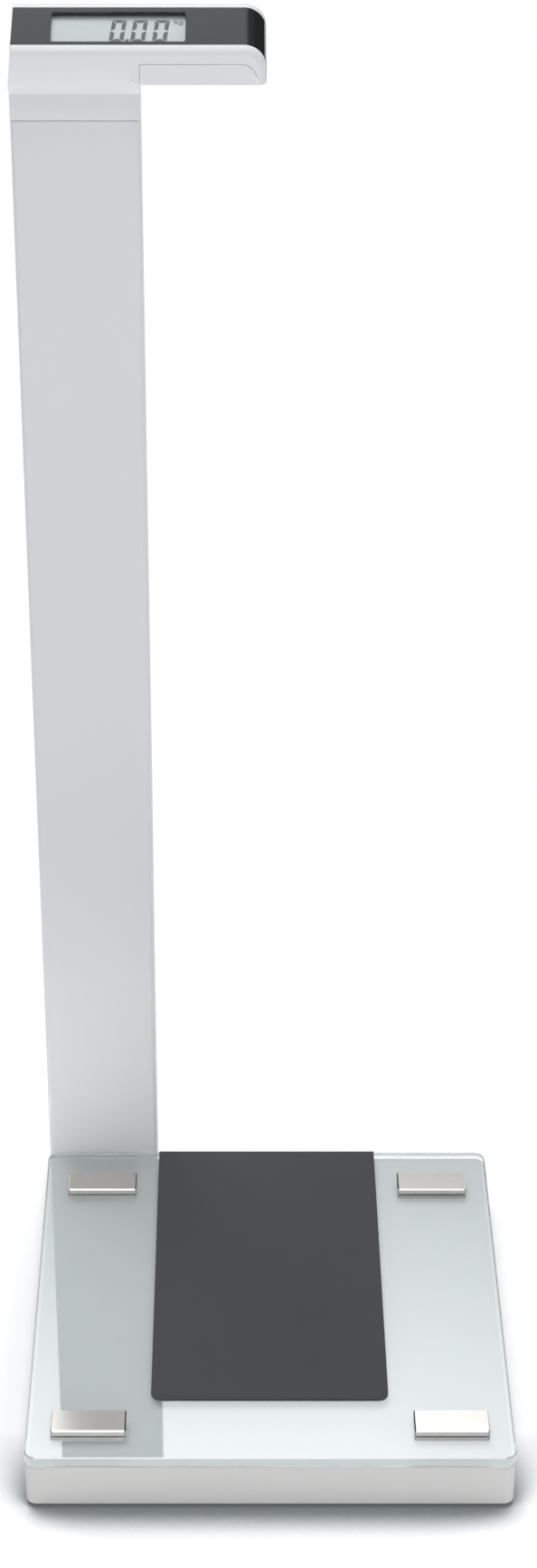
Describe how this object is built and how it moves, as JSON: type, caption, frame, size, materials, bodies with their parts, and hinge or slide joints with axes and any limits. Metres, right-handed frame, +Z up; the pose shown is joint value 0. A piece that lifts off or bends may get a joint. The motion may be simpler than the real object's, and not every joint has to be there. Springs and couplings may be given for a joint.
{
  "type": "column scale",
  "caption": "Electronic column scale: square glass platform on load-cell feet, flat upright column and a tilted display head that overhangs to the right.",
  "frame": {"origin": "centre of the footprint, on the floor under the rubber feet", "axes": "+Z up along the column, +X to the user's right, -Y towards the user who stands on the platform"},
  "size_m": [0.305, 0.337, 0.8493],
  "materials": {
    "clear_glass": "tempered float glass, ground and polished edges",
    "backing_print": "silver-grey print film",
    "mat_rubber": "matt, fine grain",
    "polished_steel": "polished nickel-plated steel",
    "gasket_rubber": "thin black gasket",
    "tray_plastic": "moulded, fine texture",
    "zinc_steel": "zinc-plated sheet and screws",
    "foot_rubber": "matt black",
    "carrier_plastic": "moulded",
    "cast_aluminium": "die-cast, as cast",
    "column_coat": "light silver-grey powder coat on extruded aluminium",
    "head_plastic": "moulded, satin",
    "panel_black": "polished black",
    "clear_plastic": "clear acrylic",
    "lcd_face": "reflective liquid crystal display",
    "inner_plastic": "black moulded",
    "board_green": "solder mask",
    "cable_grey": "PVC sheath",
    "battery_wrap": "plain wrapped cell",
    "contact_nickel": "nickel-plated spring strip"
  },
  "bodies": {
    "scale": {"arm_bolts": "zinc_steel", "base_cover": "zinc_steel", "base_cover_screws": "zinc_steel", "battery_cells": "battery_wrap", "battery_contacts": "contact_nickel", "battery_springs": "contact_nickel", "battery_tray": "inner_plastic", "cable_connector": "inner_plastic", "clamp_gaskets": "gasket_rubber", "clamp_nuts": "zinc_steel", "clamp_plate_back_left": "polished_steel", "clamp_plate_back_right": "polished_steel", "clamp_plate_front_left": "polished_steel", "clamp_plate_front_right": "polished_steel", "column_foot": "cast_aluminium", "column_foot_screws": "zinc_steel", "column_tube": "column_coat", "display_panel": "panel_black", "foot_carrier_back_left": "carrier_plastic", "foot_carrier_back_right": "carrier_plastic", "foot_carrier_front_left": "carrier_plastic", "foot_carrier_front_right": "carrier_plastic", "glass_backing": "backing_print", "glass_platform": "clear_glass", "head_housing": "head_plastic", "head_rear_cover": "head_plastic", "junction_board": "board_green", "junction_board_screws": "zinc_steel", "junction_connector": "inner_plastic", "lcd_connector_strip": "gasket_rubber", "lcd_frame": "inner_plastic", "lcd_module": "lcd_face", "load_cell_back_left": "zinc_steel", "load_cell_back_right": "zinc_steel", "load_cell_front_left": "zinc_steel", "load_cell_front_right": "zinc_steel", "load_cell_screws": "zinc_steel", "load_cell_wires": "cable_grey", "main_board": "board_green", "main_board_screws": "zinc_steel", "neck_screws": "zinc_steel", "neck_spigot": "cast_aluminium", "non_slip_mat": "mat_rubber", "platform_tray": "tray_plastic", "rear_cover_screws": "zinc_steel", "rubber_foot_back_left": "foot_rubber", "rubber_foot_back_right": "foot_rubber", "rubber_foot_front_left": "foot_rubber", "rubber_foot_front_right": "foot_rubber", "signal_cable": "cable_grey", "spigot_screws": "zinc_steel", "unit_switch_body": "inner_plastic", "window_pane": "clear_plastic"},
    "battery_cover": {"battery_cover": "head_plastic"},
    "unit_switch_knob": {"unit_switch_knob": "inner_plastic"}
  },
  "joints": [
    {"name": "battery_cover_slide", "type": "slide", "parent": "scale", "child": "battery_cover", "axis": [0, 0, -1], "range_m": [0, 0.04]},
    {"name": "unit_switch_slide", "type": "slide", "parent": "scale", "child": "unit_switch_knob", "axis": [1, 0, 0], "range_m": [0, 0.003]}
  ]
}
